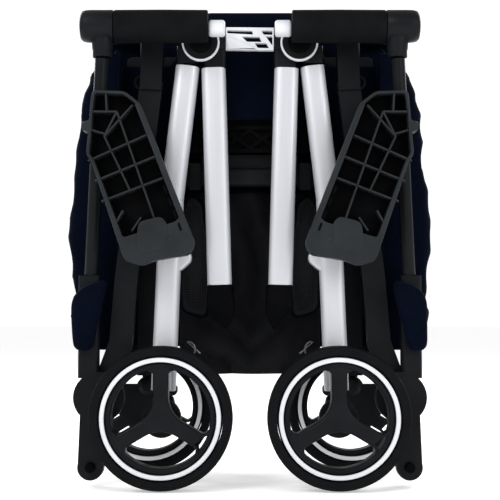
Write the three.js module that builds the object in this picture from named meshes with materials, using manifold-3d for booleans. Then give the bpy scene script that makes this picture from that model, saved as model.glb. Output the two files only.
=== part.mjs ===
// A compact travel stroller, folded and standing on its four wheels. Millimetres, +Z up, +X to its right,
// -Y towards the side that shows the grips, foot plates and front wheels. The floor is z = 0.
// The left half is modelled once per side: the right half is the same builder in a mirrored group.
import * as THREE from "three";
import { mergeVertices } from "three/addons/utils/BufferGeometryUtils.js";
import Module from "manifold-3d";

const wasm = await Module();
wasm.setup();

// Driving dimensions
const GAP = 0.4;
const WHEEL_R = 63.5;
const TYRE_BORE = 55;
const RIM_R = TYRE_BORE - GAP;
const RING_OUT = 53.2;
const RING_IN = 49.4;
const WINDOW_R = 43;
const WHEEL_W = 28;
const FRONT_WHEEL = { x: -78.5, y: -86, z: WHEEL_R };
const REAR_WHEEL = { x: -100.8, y: 54, z: WHEEL_R };
const HUB = { x: -45.5, z: 405 };
const TUBE_Y = -46;
const TUBE_R = 10.9;
const GRIP = { y: -80, z: 415, r: 14.7, inner: -38, outer: -123, cap: -153.6 };
const PUSH_KNEE = { x: -137, z: 79.5, r: 23.2 };
const PUSH_FOOT = { x: -144, z: 17, r: 11.8 };
const PUSH_TOP = { x: -90.5, z: 393 };
const SEAT_Z = 388;
const SEAT_TOP = 441;
const HALF_WIDTH = 176;
const DECK_TOP = 402;
const HOOD_FOOT = 132;
const HOOD_TOP = 390;
const HOOD_RETURN = 121;
const HOOD_FRONT = -33.5;
const HOOD_SHEET = 6;
const BOW = { x: 151, y: 10, z: 250, back: 68, up: 192, r: 4 };

// Materials
const black = new THREE.MeshStandardMaterial({ color: 0x1b1d20, roughness: 0.55, metalness: 0 });
const foam = new THREE.MeshStandardMaterial({ color: 0x141517, roughness: 0.9, metalness: 0 });
const rubber = new THREE.MeshStandardMaterial({ color: 0x17181a, roughness: 0.85, metalness: 0 });
const silver = new THREE.MeshStandardMaterial({ color: 0xd5d7dc, roughness: 0.35, metalness: 0.8 });
const white = new THREE.MeshStandardMaterial({ color: 0xe4e6ea, roughness: 0.4, metalness: 0 });
const navy = new THREE.MeshStandardMaterial({ color: 0x0a1a35, roughness: 0.95, metalness: 0 });
const basketCloth = new THREE.MeshStandardMaterial({ color: 0x15161a, roughness: 0.95, metalness: 0 });

const stroller = new THREE.Group();
const left = new THREE.Group();
const right = new THREE.Group();
right.scale.x = -1;
stroller.add(left, right);

function solid(geometry) {
  const bare = geometry.index ? geometry.toNonIndexed() : geometry.clone();
  bare.deleteAttribute("normal");
  bare.deleteAttribute("uv");
  const merged = mergeVertices(bare, 1e-3);
  const vertProperties = merged.attributes.position.array;
  return new wasm.Manifold(new wasm.Mesh({ numProp: 3, vertProperties, triVerts: merged.index.array }));
}

function geometryOf(made) {
  const { vertProperties, triVerts } = made.getMesh();
  const geometry = new THREE.BufferGeometry();
  geometry.setAttribute("position", new THREE.BufferAttribute(vertProperties, 3));
  geometry.setIndex(new THREE.BufferAttribute(triVerts, 1));
  geometry.computeVertexNormals();
  return geometry;
}

// Joins the first geometry with the others, then cuts the cutters away.
function join(pieces, cutters = []) {
  let made = solid(pieces[0]);
  for (const piece of pieces.slice(1)) made = made.add(solid(piece));
  for (const cutter of cutters) made = made.subtract(solid(cutter));
  return geometryOf(made);
}

function place(group, name, geometry, material, at = [0, 0, 0]) {
  const node = new THREE.Mesh(geometry, material);
  node.name = name;
  node.position.set(...at);
  group.add(node);
}

// The same piece on both sides, its own node on each.
function pair(name, geometry, material, at) {
  place(left, `${name}_left`, geometry, material, at);
  place(right, `${name}_right`, geometry, material, at);
}

function outlineOf(points) {
  return new THREE.Shape(points.map(([x, z]) => new THREE.Vector2(x, z)));
}

// An outline in X and Z, given as a Shape or as points, with its thickness along Y.
function plate(outline, near, far, steps = 12) {
  const shape = Array.isArray(outline) ? outlineOf(outline) : outline;
  const options = { depth: far - near, bevelEnabled: false, curveSegments: steps };
  return new THREE.ExtrudeGeometry(shape, options).rotateX(Math.PI / 2).translate(0, far, 0);
}

function block(x0, x1, y0, y1, z0, z1) {
  return new THREE.BoxGeometry(x1 - x0, y1 - y0, z1 - z0)
    .translate((x0 + x1) / 2, (y0 + y1) / 2, (z0 + z1) / 2);
}

// A block with its four edges along the given axis rounded.
function rounded(x0, x1, y0, y1, z0, z1, radius, axis = "y") {
  const spans = { x: [x1 - x0, 0], y: [y1 - y0, 0], z: [z1 - z0, 0] };
  const [u, v] = { x: ["z", "y"], y: ["x", "z"], z: ["x", "y"] }[axis];
  const w = spans[u][0] / 2;
  const h = spans[v][0] / 2;
  const shape = new THREE.Shape();
  shape.absarc(w - radius, h - radius, radius, 0, Math.PI / 2);
  shape.absarc(radius - w, h - radius, radius, Math.PI / 2, Math.PI);
  shape.absarc(radius - w, radius - h, radius, Math.PI, Math.PI * 1.5);
  shape.absarc(w - radius, radius - h, radius, Math.PI * 1.5, Math.PI * 2);
  const depth = spans[axis][0];
  const made = new THREE.ExtrudeGeometry(shape, { depth, bevelEnabled: false, curveSegments: 3 });
  made.translate(0, 0, -depth / 2);
  if (axis === "y") made.rotateX(Math.PI / 2);
  if (axis === "x") made.rotateY(Math.PI / 2);
  return made.translate((x0 + x1) / 2, (y0 + y1) / 2, (z0 + z1) / 2);
}

function rod(from, to, radius, sides = 16, endRadius = radius) {
  const a = new THREE.Vector3(...from);
  const b = new THREE.Vector3(...to);
  const way = b.clone().sub(a);
  const turn = new THREE.Quaternion().setFromUnitVectors(new THREE.Vector3(0, 1, 0), way.clone().normalize());
  return new THREE.CylinderGeometry(endRadius, radius, way.length(), sides)
    .applyQuaternion(turn)
    .translate(...a.add(b).multiplyScalar(0.5).toArray());
}

// A disc or ring about an axis along Y, centred on x and z.
function disc(x, z, radius, near, far, sides = 32) {
  return rod([x, near, z], [x, far, z], radius, sides);
}

function ring(outer, inner, near, far, sides = 36) {
  const profile = [[inner, near], [outer, near], [outer, far], [inner, far], [inner, near]];
  return new THREE.LatheGeometry(profile.map(([r, y]) => new THREE.Vector2(r, y)), sides);
}

// A bar of rectangular section between two points in X and Z.
function bar([x0, z0], [x1, z1], width, near, far) {
  const way = new THREE.Vector2(x1 - x0, z1 - z0).normalize().multiplyScalar(width / 2);
  const [nx, nz] = [way.y, -way.x];
  return plate([[x0 + nx, z0 + nz], [x1 + nx, z1 + nz], [x1 - nx, z1 - nz], [x0 - nx, z0 - nz]], near, far);
}

// Wheels: tyre, three-spoked rim and the bright ring on the rim, about an axis along Y
function tyre() {
  const half = WHEEL_W / 2;
  const profile = [
    [TYRE_BORE, -half + 3], [WHEEL_R - 4, -half], [WHEEL_R, -half + 8], [WHEEL_R, half - 8],
    [WHEEL_R - 4, half], [TYRE_BORE, half - 3], [TYRE_BORE, -half + 3],
  ];
  return new THREE.LatheGeometry(profile.map(([r, y]) => new THREE.Vector2(r, y)), 40);
}

function rim() {
  const half = WHEEL_W / 2;
  const spokeHalf = 6;
  const hubR = 12;
  const shape = new THREE.Shape().absarc(0, 0, RIM_R, 0, Math.PI * 2);
  for (let i = 0; i < 3; i++) {
    const spoke = Math.PI / 2 + (i * Math.PI * 2) / 3;
    const outerTrim = Math.asin((spokeHalf + 3) / WINDOW_R);
    const innerTrim = Math.asin((spokeHalf - 1) / hubR) * 1.15;
    const start = spoke + outerTrim;
    const end = spoke + (Math.PI * 2) / 3 - outerTrim;
    const hole = new THREE.Path();
    hole.absarc(0, 0, WINDOW_R, start, end, false);
    hole.absarc(0, 0, hubR + 2, spoke + (Math.PI * 2) / 3 - innerTrim, spoke + innerTrim, true);
    hole.closePath();
    shape.holes.push(hole);
  }
  return join([plate(shape, -half + 4, half - 4, 8)], [disc(0, 0, 4, -half, -half + 8, 12)]);
}

function wheel(name, at) {
  const half = WHEEL_W / 2;
  const where = [at.x, at.y, at.z];
  pair(`${name}_tyre`, tyre(), rubber, where);
  pair(`${name}_rim`, rim(), black, where);
  pair(`${name}_ring`, ring(RING_OUT, RING_IN, -half + 1.6, -half + 4 - GAP), silver, where);
}

// Seat frame: deck and pad on top, bridge, collars, inner tubes, cross members, basket
function seat() {
  place(stroller, "seat_deck", rounded(-118, 118, -14, 70, SEAT_Z, DECK_TOP, 5), black);
  const pad = outlineOf([
    [-72, -32], [72, -32], [74, 0], [118, 8], [118, 62], [112, 66], [-112, 66], [-118, 62], [-118, 8], [-74, 0],
  ]);
  const padDepth = SEAT_TOP - DECK_TOP - GAP;
  const padSolid = new THREE.ExtrudeGeometry(pad, { depth: padDepth, bevelEnabled: false });
  place(stroller, "seat_pad", padSolid.translate(0, 0, DECK_TOP + GAP), navy);
  const slot = (x, z, rise) => plate([[x, z], [x + 9, z], [x + 6, z + rise], [x - 3, z + rise]], -62, -40);
  const slots = [-15, -5, 6].flatMap((x) => [slot(x, 404, 5), slot(x + 1, 411.5, 4.5)]);
  place(stroller, "hub_bridge", join([block(-22, 22, -56, -49, 399, 420)], slots), white);
}

function seatTubes() {
  const collar = join([
    rounded(-43, -22.4, -55, -35, 383, 399.5, 3, "z"),
    rod([-42, TUBE_Y, HUB.z], [-22.4, TUBE_Y, HUB.z], 9, 20),
    block(-36, -22.4, -36, -15, 389, 400),
  ]);
  pair("inner_collar", collar, black);
  pair("inner_tube", rod([-34, TUBE_Y, 383 - GAP], [-28, TUBE_Y, 182], TUBE_R, 20), silver);
  const elbow = join([
    rod([-28, TUBE_Y, 182 - GAP], [-27, TUBE_Y, 152], TUBE_R + 0.8, 20),
    rod([-27, TUBE_Y + 1, 156], [-26.5, -21, 132], TUBE_R + 0.6, 20, TUBE_R - 1),
  ]);
  pair("inner_elbow", elbow, black);
}

function crossMembers() {
  const strap = rounded(-56, 56, -24, -16, 308, 334, 3);
  const cells = [];
  for (const x of [-36, -12, 12, 36]) {
    cells.push(plate([[x - 10, 330], [x + 10, 330], [x, 323]], -30, -20));
    cells.push(plate([[x - 10, 312], [x, 319], [x + 10, 312]], -30, -20));
    cells.push(plate([[x - 11.5, 328], [x - 11.5, 314], [x - 4, 321]], -30, -20));
    cells.push(plate([[x + 11.5, 314], [x + 11.5, 328], [x + 4, 321]], -30, -20));
  }
  place(stroller, "cross_beam", join([strap, block(-52, 52, -20, -10, 333, SEAT_Z - GAP)], cells), black);
  const hanger = block(-46, 46, -15.6, -8, 292, 307);
  place(stroller, "cross_bar", join([rounded(-62, 62, -24, -8, 276, 294, 5, "x"), hanger]), black);
  const shell = rounded(-66, 66, -8 + GAP, 38, 98, 275, 16);
  const hollow = rounded(-60, 60, -2, 32, 106, 276, 12);
  const roof = block(-70, 70, 0, 64, 236, 280);
  place(stroller, "basket", join([shell], [hollow, roof]), basketCloth);
}

// Front legs: outer tube, collar and face disc at the hub, foot turning under the tube, foot plate
function frontLegs() {
  const knee = plate([[-62, 216], [-54.5, 212], [-54.5, 204], [-66, 195]], -54, -38);
  const tube = [
    rod([-58, TUBE_Y, 384.8], [-73, TUBE_Y, 257], TUBE_R, 20),
    rod([-73, TUBE_Y, 260], [-79.4, TUBE_Y, 85.6], TUBE_R, 20),
  ];
  pair("leg_tube", join([...tube, knee]), silver);
  const hub = join([
    disc(HUB.x, HUB.z, 17.4 - GAP * 6, -62, -57.4),
    rounded(-67.5, -50, -57.6, -34, 386.9, 403, 3, "z"),
    rod([-62, TUBE_Y, HUB.z], [-49, TUBE_Y, HUB.z], 9, 20),
  ]);
  pair("hub_disc", hub, black);
  pair("hub_ring", ring(17.4, 15.2, -62.4, -58, 28), silver, [HUB.x, 0, HUB.z]);
  const foot = join([
    disc(-79.5, 61.5, 17.6, -70, -59, 28),
    rod([-79.5, -60, 62], [-79.5, TUBE_Y, 73.5], 9, 16),
    new THREE.SphereGeometry(11, 14, 8).translate(-79.5, TUBE_Y, 73.5),
  ]);
  pair("leg_foot", foot, black);
}

const FOOT_PLATE = [
  [-140, 353], [-111, 352], [-97, 341], [-49, 219], [-50, 213], [-54, 207], [-84, 202], [-96, 197],
  [-109, 201], [-112, 206], [-140, 289], [-145, 296], [-143, 316], [-149, 317], [-149, 325], [-142, 326],
  [-142, 332],
];

function footPlates() {
  const face = -99.6;
  const back = -82;
  const floor = -86;
  const body = plate(FOOT_PLATE, face, back);
  const centre = new THREE.Vector2(-103, 274);
  const inner = FOOT_PLATE.filter(([x]) => x > -146).map(([x, z]) => {
    const way = new THREE.Vector2(x, z).sub(centre);
    return way.multiplyScalar(1 - 5.5 / way.length()).add(centre).toArray();
  });
  const pocket = solid(plate(inner, face - 1, floor)).subtract(solid(block(-160, -40, -101, -80, 190, 240)));
  const ribs = [
    [[-110, 325], [-81, 240]], [[-126, 306], [-110, 262]],
    [[-143, 290], [-90, 310]], [[-136, 272], [-84, 291]], [[-128, 254], [-76, 274]],
    [[-140, 334], [-118, 332]], [[-118, 332], [-110, 325]], [[-127, 350], [-127, 332]],
    [[-101, 338], [-126, 306]],
  ];
  let cut = pocket;
  for (const [from, to] of ribs) cut = cut.subtract(solid(bar(from, to, 2.2, -101, -80)));
  pair("foot_plate", geometryOf(solid(body).subtract(cut)), black);
}

// Push bars: a flat lower link outside each front leg, and an upright with its grip
function pushBars() {
  const lower = join([
    bar([PUSH_TOP.x, PUSH_TOP.z + 14], [PUSH_TOP.x - 2, 363], 20, -52, -34),
    bar([PUSH_TOP.x - 1, 372], [-114, 188], 21, -49.5, -36),
    bar([-114, 188], [-119, 126], 21, -49.5, -36),
    bar([-119, 128], [PUSH_KNEE.x, PUSH_KNEE.z], 21, -49.5, -36),
    disc(-114, 188, 10.5, -49.5, -36, 16),
    disc(-119, 127, 10.5, -49.5, -36, 16),
    disc(PUSH_KNEE.x, PUSH_KNEE.z, 19, -49.5, -36, 24),
  ]);
  pair("push_link", lower, black);
  const knee = join([
    disc(PUSH_KNEE.x, PUSH_KNEE.z, PUSH_KNEE.r, -62, -50),
    plate([[-152.4, 100], [-122, 96], [-133, 17], [-155.4, 17]], -62, -50),
    disc(PUSH_FOOT.x, PUSH_FOOT.z, PUSH_FOOT.r, -62, -50, 24),
    disc(PUSH_FOOT.x, PUSH_FOOT.z, 4.5, -66, -50, 12),
    rounded(-156.2, -137.2, -62, -50, 97, 190, 3, "z"),
  ], [disc(PUSH_KNEE.x, PUSH_KNEE.z, 6.5, -70, -57, 20)]);
  pair("push_knee", knee, black);
  pair("release_button", disc(PUSH_KNEE.x, PUSH_KNEE.z, 6, -64, -59.4, 20), black);
  pair("push_tube", rod([-145.4, -55, 191.4], [-134, GRIP.y, 385], 6.1, 12), silver);
  const cap = join([
    rod([GRIP.cap + 3, GRIP.y, GRIP.z], [GRIP.outer - GAP, GRIP.y, GRIP.z], GRIP.r, 24),
    rod([GRIP.cap, GRIP.y, GRIP.z], [GRIP.cap + 3, GRIP.y, GRIP.z], GRIP.r - 3, 24, GRIP.r),
    rod([-133.5, GRIP.y, 386.4], [-133.5, GRIP.y, 405], 8.6, 20),
  ]);
  pair("grip_elbow", cap, black);
  pair("grip", rod([GRIP.outer, GRIP.y, GRIP.z], [GRIP.inner, GRIP.y, GRIP.z], GRIP.r, 24), foam);
  const end = join([
    rod([GRIP.inner + GAP, GRIP.y, 413], [-25, GRIP.y, 413], 7.6, 20),
    rod([-25, GRIP.y, 413], [-22.5, GRIP.y, 413], 7.6, 20, 5.6),
  ]);
  pair("grip_end", end, white);
  const padOutline = [[-162, 120], [-141, 117], [-124, 192], [-148, 184], [-158, 180], [-164, 168]];
  pair("side_pad", plate(padOutline, -76, -63), navy);
}

// Rear legs: a flat bar in front of each rear wheel, its foot, and the brake pedal
function rearLegs() {
  pair("rear_leg", join([
    bar([-100, 374], [-100.8, 95.5], 18, 16, 34),
    disc(-100, 374, 9, 10, 34, 16),
  ]), black);
  pair("rear_foot", join([
    new THREE.SphereGeometry(10.5, 14, 8).translate(REAR_WHEEL.x, 25, 84),
    plate([[-126, 87], [-90.5, 87], [-90.5, 48], [-116, 44], [-128, 58], [-129, 80]], 20, 31),
    disc(REAR_WHEEL.x, REAR_WHEEL.z, 18, 18, 38, 28),
  ]), black);
  pair("brake_pedal", rounded(-88, -71, 16, 34, 76, 86, 4), rubber);
}

// Seat back in two panels, the hood's shell and its bow
function backAndHood() {
  place(stroller, "lower_back", rounded(-112, 112, 72, 79, 132, 400, 8), navy);
  place(stroller, "upper_back", rounded(-112, 112, 80, 87, 132, 396, 8), navy);
  const inside = HOOD_FRONT + HOOD_SHEET;
  const outer = new THREE.Shape();
  outer.moveTo(-HALF_WIDTH, -24);
  outer.lineTo(-HALF_WIDTH + 10, HOOD_FRONT);
  outer.lineTo(-HOOD_RETURN, HOOD_FRONT);
  outer.lineTo(-HOOD_RETURN, inside);
  outer.lineTo(-HALF_WIDTH + 14, inside);
  outer.lineTo(-HALF_WIDTH + 16, 60);
  outer.absarc(-HALF_WIDTH + 16 + 28, 60, 28, Math.PI, Math.PI / 2, true);
  outer.absarc(HALF_WIDTH - 16 - 28, 60, 28, Math.PI / 2, 0, true);
  outer.lineTo(HALF_WIDTH - 14, inside);
  outer.lineTo(HOOD_RETURN, inside);
  outer.lineTo(HOOD_RETURN, HOOD_FRONT);
  outer.lineTo(HALF_WIDTH - 10, HOOD_FRONT);
  outer.lineTo(HALF_WIDTH, -24);
  outer.lineTo(HALF_WIDTH, 60);
  outer.absarc(HALF_WIDTH - 36, 62, 36, 0, Math.PI / 2, false);
  outer.absarc(36 - HALF_WIDTH, 62, 36, Math.PI / 2, Math.PI, false);
  const options = { depth: HOOD_TOP - HOOD_FOOT, bevelEnabled: false, curveSegments: 8 };
  place(stroller, "hood", new THREE.ExtrudeGeometry(outer, options).translate(0, 0, HOOD_FOOT), navy);
  const bow = join([
    rod([-BOW.x, BOW.y, BOW.z], [-BOW.x, BOW.y + BOW.back, BOW.z + BOW.up], BOW.r, 10),
    rod([-BOW.x, BOW.y + BOW.back, BOW.z + BOW.up], [BOW.x, BOW.y + BOW.back, BOW.z + BOW.up], BOW.r, 10),
    rod([BOW.x, BOW.y + BOW.back, BOW.z + BOW.up], [BOW.x, BOW.y, BOW.z], BOW.r, 10),
    rod([-BOW.x - 6, BOW.y, BOW.z], [-BOW.x + 4, BOW.y, BOW.z], 8, 12),
    rod([BOW.x - 4, BOW.y, BOW.z], [BOW.x + 6, BOW.y, BOW.z], 8, 12),
    new THREE.SphereGeometry(BOW.r, 10, 6).translate(-BOW.x, BOW.y + BOW.back, BOW.z + BOW.up),
    new THREE.SphereGeometry(BOW.r, 10, 6).translate(BOW.x, BOW.y + BOW.back, BOW.z + BOW.up),
  ]);
  place(stroller, "hood_bow", bow, black);
}

seat();
seatTubes();
crossMembers();
frontLegs();
footPlates();
wheel("front", FRONT_WHEEL);
pushBars();
rearLegs();
wheel("rear", REAR_WHEEL);
backAndHood();

export default stroller;
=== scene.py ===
"""Looks of a compact travel stroller, folded and standing on its wheels. Metres, in the CAD frame."""
import math
import bmesh
import bpy
from mathutils import Matrix, Vector, noise


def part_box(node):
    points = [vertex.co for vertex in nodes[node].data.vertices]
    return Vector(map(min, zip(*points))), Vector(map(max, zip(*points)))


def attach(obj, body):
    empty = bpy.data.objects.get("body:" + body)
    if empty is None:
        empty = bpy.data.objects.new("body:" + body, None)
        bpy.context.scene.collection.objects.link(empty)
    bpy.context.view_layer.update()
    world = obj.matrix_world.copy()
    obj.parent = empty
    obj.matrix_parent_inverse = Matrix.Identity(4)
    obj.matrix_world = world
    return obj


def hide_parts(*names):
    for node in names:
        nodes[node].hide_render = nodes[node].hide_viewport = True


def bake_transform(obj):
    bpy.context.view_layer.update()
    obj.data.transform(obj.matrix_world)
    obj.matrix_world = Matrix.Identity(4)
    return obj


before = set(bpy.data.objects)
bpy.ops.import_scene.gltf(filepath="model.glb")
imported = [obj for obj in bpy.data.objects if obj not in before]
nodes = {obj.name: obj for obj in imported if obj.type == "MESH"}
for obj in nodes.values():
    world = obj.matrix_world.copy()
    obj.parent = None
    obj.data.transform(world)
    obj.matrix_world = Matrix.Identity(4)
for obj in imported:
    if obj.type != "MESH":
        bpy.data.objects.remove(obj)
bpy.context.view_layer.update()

MM = 0.001
SIDES = (("left", 1), ("right", -1))


# ---------------------------------------------------------------- materials
class Shader:
    """A principled material with a few helpers for its node tree."""

    def __init__(self, name, colour, roughness, metallic=0.0, **sockets):
        self.material = bpy.data.materials.new(name)
        self.material.use_nodes = True
        self.tree = self.material.node_tree
        self.bsdf = self.tree.nodes["Principled BSDF"]
        self.colour = (*colour, 1)
        self.bsdf.inputs["Base Color"].default_value = self.colour
        self.bsdf.inputs["Roughness"].default_value = roughness
        self.bsdf.inputs["Metallic"].default_value = metallic
        for socket, value in sockets.items():
            self.bsdf.inputs[socket.replace("_", " ")].default_value = value
        self.place = self.node("ShaderNodeTexCoord").outputs["Object"]

    def node(self, kind, **values):
        made = self.tree.nodes.new(kind)
        for key, value in values.items():
            setattr(made, key, value)
        return made

    def link(self, a, b):
        self.tree.links.new(a, b)

    def noise(self, scale, detail=3.0, stretch=(1, 1, 1)):
        mapping = self.node("ShaderNodeMapping")
        mapping.inputs["Scale"].default_value = stretch
        self.link(self.place, mapping.inputs["Vector"])
        made = self.node("ShaderNodeTexNoise")
        made.inputs["Scale"].default_value = scale
        made.inputs["Detail"].default_value = detail
        self.link(mapping.outputs["Vector"], made.inputs["Vector"])
        return made.outputs["Fac"]

    def ramp(self, source, low, high, start=0.35, end=0.65):
        made = self.node("ShaderNodeMapRange")
        made.inputs["From Min"].default_value = start
        made.inputs["From Max"].default_value = end
        made.inputs["To Min"].default_value = low
        made.inputs["To Max"].default_value = high
        self.link(source, made.inputs["Value"])
        return made.outputs["Result"]

    def math(self, operation, a, b):
        made = self.node("ShaderNodeMath", operation=operation)
        for socket, value in zip(made.inputs, (a, b)):
            if isinstance(value, (int, float)):
                socket.default_value = value
            else:
                self.link(value, socket)
        return made.outputs[0]

    def tint(self, source, other, start=0.3, end=0.7):
        """Varies the colour between its own and the other one."""
        mix = self.node("ShaderNodeMix", data_type="RGBA")
        mix.inputs[6].default_value = self.colour
        mix.inputs[7].default_value = (*other, 1)
        self.link(self.ramp(source, 0, 1, start, end), mix.inputs[0])
        self.link(mix.outputs[2], self.bsdf.inputs["Base Color"])

    def rough(self, source, low, high):
        self.link(self.ramp(source, low, high), self.bsdf.inputs["Roughness"])

    def bump(self, height, distance, strength=0.5):
        made = self.node("ShaderNodeBump")
        made.inputs["Distance"].default_value = distance
        made.inputs["Strength"].default_value = strength
        self.link(height, made.inputs["Height"])
        self.link(made.outputs["Normal"], self.bsdf.inputs["Normal"])

    def weave(self, pitch):
        """Threads crossing: two sets of bands, one along Z and one round the piece."""
        bands = []
        for direction in ("Z", "DIAGONAL"):
            wave = self.node("ShaderNodeTexWave", bands_direction=direction)
            wave.inputs["Scale"].default_value = 0.314 / pitch
            wave.inputs["Distortion"].default_value = 0.4
            self.link(self.place, wave.inputs["Vector"])
            bands.append(wave.outputs["Fac"])
        return self.math("MULTIPLY", *bands)


def moulded(name, colour, roughness, gloss, grain=0.00012):
    shader = Shader(name, colour, roughness, Specular_IOR_Level=gloss)
    shader.tint(shader.noise(38, 5), [c * 1.5 + 0.001 for c in colour])
    shader.rough(shader.noise(90, 4), roughness - 0.07, roughness + 0.1)
    shader.bump(shader.noise(2600, 2), grain, 0.35)
    return shader.material


def foam_material():
    shader = Shader("foam", (0.0034, 0.0036, 0.0043), 0.8, Specular_IOR_Level=0.05)
    shader.tint(shader.noise(55, 5), (0.0054, 0.0057, 0.0066))
    cells = shader.node("ShaderNodeTexVoronoi")
    cells.inputs["Scale"].default_value = 900
    shader.link(shader.place, cells.inputs["Vector"])
    pores = shader.math("ADD", cells.outputs["Distance"], shader.noise(700, 3))
    shader.bump(pores, 0.0004, 0.55)
    return shader.material


def tyre_material():
    shader = Shader("tyre", (0.0028, 0.003, 0.0037), 0.62, Specular_IOR_Level=0.07)
    shader.tint(shader.noise(60, 6), (0.0044, 0.0047, 0.0056))
    shader.rough(shader.noise(120, 4), 0.5, 0.74)
    shader.bump(shader.noise(1500, 3), 0.0002, 0.4)
    return shader.material


def anodised_material():
    shader = Shader("satin_silver", (0.52, 0.53, 0.56), 0.42, 0.3)
    shader.tint(shader.noise(30, 4, (1, 1, 0.06)), (0.555, 0.565, 0.595))
    shader.rough(shader.noise(420, 3, (1, 1, 0.02)), 0.38, 0.5)
    shader.bump(shader.noise(2400, 2, (1, 1, 0.01)), 0.00005, 0.25)
    return shader.material


def white_material():
    shader = Shader("white_plastic", (0.64, 0.65, 0.68), 0.4)
    shader.tint(shader.noise(70, 4), (0.60, 0.61, 0.64))
    shader.rough(shader.noise(150, 3), 0.34, 0.48)
    shader.bump(shader.noise(2200, 2), 0.00006, 0.3)
    return shader.material


def cloth_material(name, colour, other, pitch, sheen=0.012):
    shader = Shader(name, colour, 0.86, Sheen_Weight=sheen, Sheen_Roughness=0.5, Specular_IOR_Level=0.035)
    threads = shader.weave(pitch)
    mottled = shader.math("ADD", shader.math("MULTIPLY", threads, 0.5), shader.noise(26, 6))
    shader.tint(mottled, other, 0.35, 1.05)
    shader.rough(shader.noise(200, 3), 0.78, 0.93)
    shader.bump(threads, 0.0006, 0.5)
    return shader.material


def net_material():
    """Warp-knit mesh: rows of round holes over dark cloth."""
    shader = Shader("net_cloth", (0.0045, 0.0047, 0.0055), 0.8, Specular_IOR_Level=0.12)
    cells = shader.node("ShaderNodeTexVoronoi")
    cells.inputs["Scale"].default_value = 420
    cells.inputs["Randomness"].default_value = 0.12
    shader.link(shader.place, cells.inputs["Vector"])
    shader.tint(cells.outputs["Distance"], (0.022, 0.023, 0.026), 0.25, 0.6)
    shader.bump(cells.outputs["Distance"], 0.0008, 0.6)
    return shader.material


def steel_material():
    shader = Shader("pin_steel", (0.16, 0.16, 0.17), 0.3, 1.0)
    shader.rough(shader.noise(300, 4), 0.2, 0.4)
    shader.bump(shader.noise(1800, 2), 0.00004, 0.3)
    return shader.material


BLACK = moulded("black_plastic", (0.0042, 0.0047, 0.0058), 0.38, 0.08)
# The foot plates' plastic is lighter than the black plastic: partly their own tone, and partly a painted
# sheen of the smooth panel low on each plate.
FOOT = moulded("foot_plastic", (0.010, 0.0118, 0.0135), 0.42, 0.14)
DARK = moulded("dark_plastic", (0.0010, 0.0011, 0.0014), 0.55, 0.02)
FOAM = foam_material()
TYRE = tyre_material()
SILVER = anodised_material()
WHITE = white_material()
NAVY = cloth_material("navy_fabric", (0.0004, 0.0014, 0.0052), (0.0009, 0.0027, 0.0094), 0.0011)
PIPING = cloth_material("navy_piping", (0.0004, 0.0012, 0.0044), (0.0008, 0.0022, 0.0078), 0.0008)
CLOTH = cloth_material("black_cloth", (0.0068, 0.0070, 0.0083), (0.0140, 0.0144, 0.0165), 0.0012)
NET = net_material()
STEEL = steel_material()


# ---------------------------------------------------------------- mesh makers
def piece(name, mesh, material, body, stands_for=(), smooth=35):
    """A visible piece. With body None it is not attached here; the caller may attach it later, once its mesh
    is final.
    """
    made = bpy.data.objects.new(name, mesh)
    bpy.context.scene.collection.objects.link(made)
    mesh.materials.clear()
    mesh.materials.append(material)
    mesh.shade_smooth()
    mesh.set_sharp_from_angle(angle=math.radians(smooth))
    if stands_for:
        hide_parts(*stands_for)
    if body:
        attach(made, body)
    return made


def mesh_of(name, vertices, faces):
    """A mesh with doubled vertices merged and its faces turned outwards."""
    mesh = bpy.data.meshes.new(name)
    mesh.from_pydata([tuple(v) for v in vertices], [], faces)
    work = bmesh.new()
    work.from_mesh(mesh)
    bmesh.ops.remove_doubles(work, verts=work.verts, dist=1e-6)
    bmesh.ops.recalc_face_normals(work, faces=work.faces)
    work.to_mesh(mesh)
    work.free()
    return mesh


def joined(name, meshes):
    work = bmesh.new()
    for mesh in meshes:
        work.from_mesh(mesh)
    made = bpy.data.meshes.new(name)
    work.to_mesh(made)
    work.free()
    return made


def lathe(profile, start, way, segments=96):
    """Turns (radius, distance along the way) pairs about a line. A closed profile repeats its first point."""
    way = Vector(way).normalized()
    turn = Vector((0, 0, 1)).rotation_difference(way).to_matrix().to_4x4()
    turn.translation = Vector(start)
    vertices = []
    for radius, along in profile:
        for i in range(segments):
            angle = i * math.tau / segments
            vertices.append(turn @ Vector((radius * math.cos(angle), radius * math.sin(angle), along)))
    faces = []
    for j in range(len(profile) - 1):
        for i in range(segments):
            k = (i + 1) % segments
            below, above = j * segments, (j + 1) * segments
            faces.append((below + i, below + k, above + k, above + i))
    return mesh_of("lathe", vertices, faces)


def rounded_profile(radius, length, edge, steps=5, crown=0.0):
    """Half section of a round bar with rounded ends."""
    points = [(0, 0)]
    for i in range(steps + 1):
        a = i / steps * math.pi / 2
        points.append((radius - edge + edge * math.sin(a), edge - edge * math.cos(a)))
    points.append((radius + crown, length / 2))
    for i in range(steps + 1):
        a = i / steps * math.pi / 2
        points.append((radius - edge + edge * math.cos(a), length - edge + edge * math.sin(a)))
    points.append((0, length))
    return points


def bar(a, b, radius, edge, segments=64, crown=0.0):
    a, b = Vector(a), Vector(b)
    return lathe(rounded_profile(radius, (b - a).length, edge, crown=crown), a, b - a, segments)


def squared(mesh, a, b, power=3.6, widen=1.0):
    """Turns the round section of a bar from a to b into a square one with soft corners."""
    a = Vector(a)
    axis = (Vector(b) - a).normalized()
    side = axis.cross(Vector((0, 1, 0))).normalized()
    depth = side.cross(axis)
    for vertex in mesh.vertices:
        offset = vertex.co - a
        p, q = offset.dot(side), offset.dot(depth)
        reach = math.hypot(p, q)
        if reach > 1e-6:
            k = (abs(p / reach) ** power + abs(q / reach) ** power) ** (-1 / power)
            vertex.co = a + axis * offset.dot(axis) + side * p * k * widen + depth * q * k
    return mesh


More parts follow.
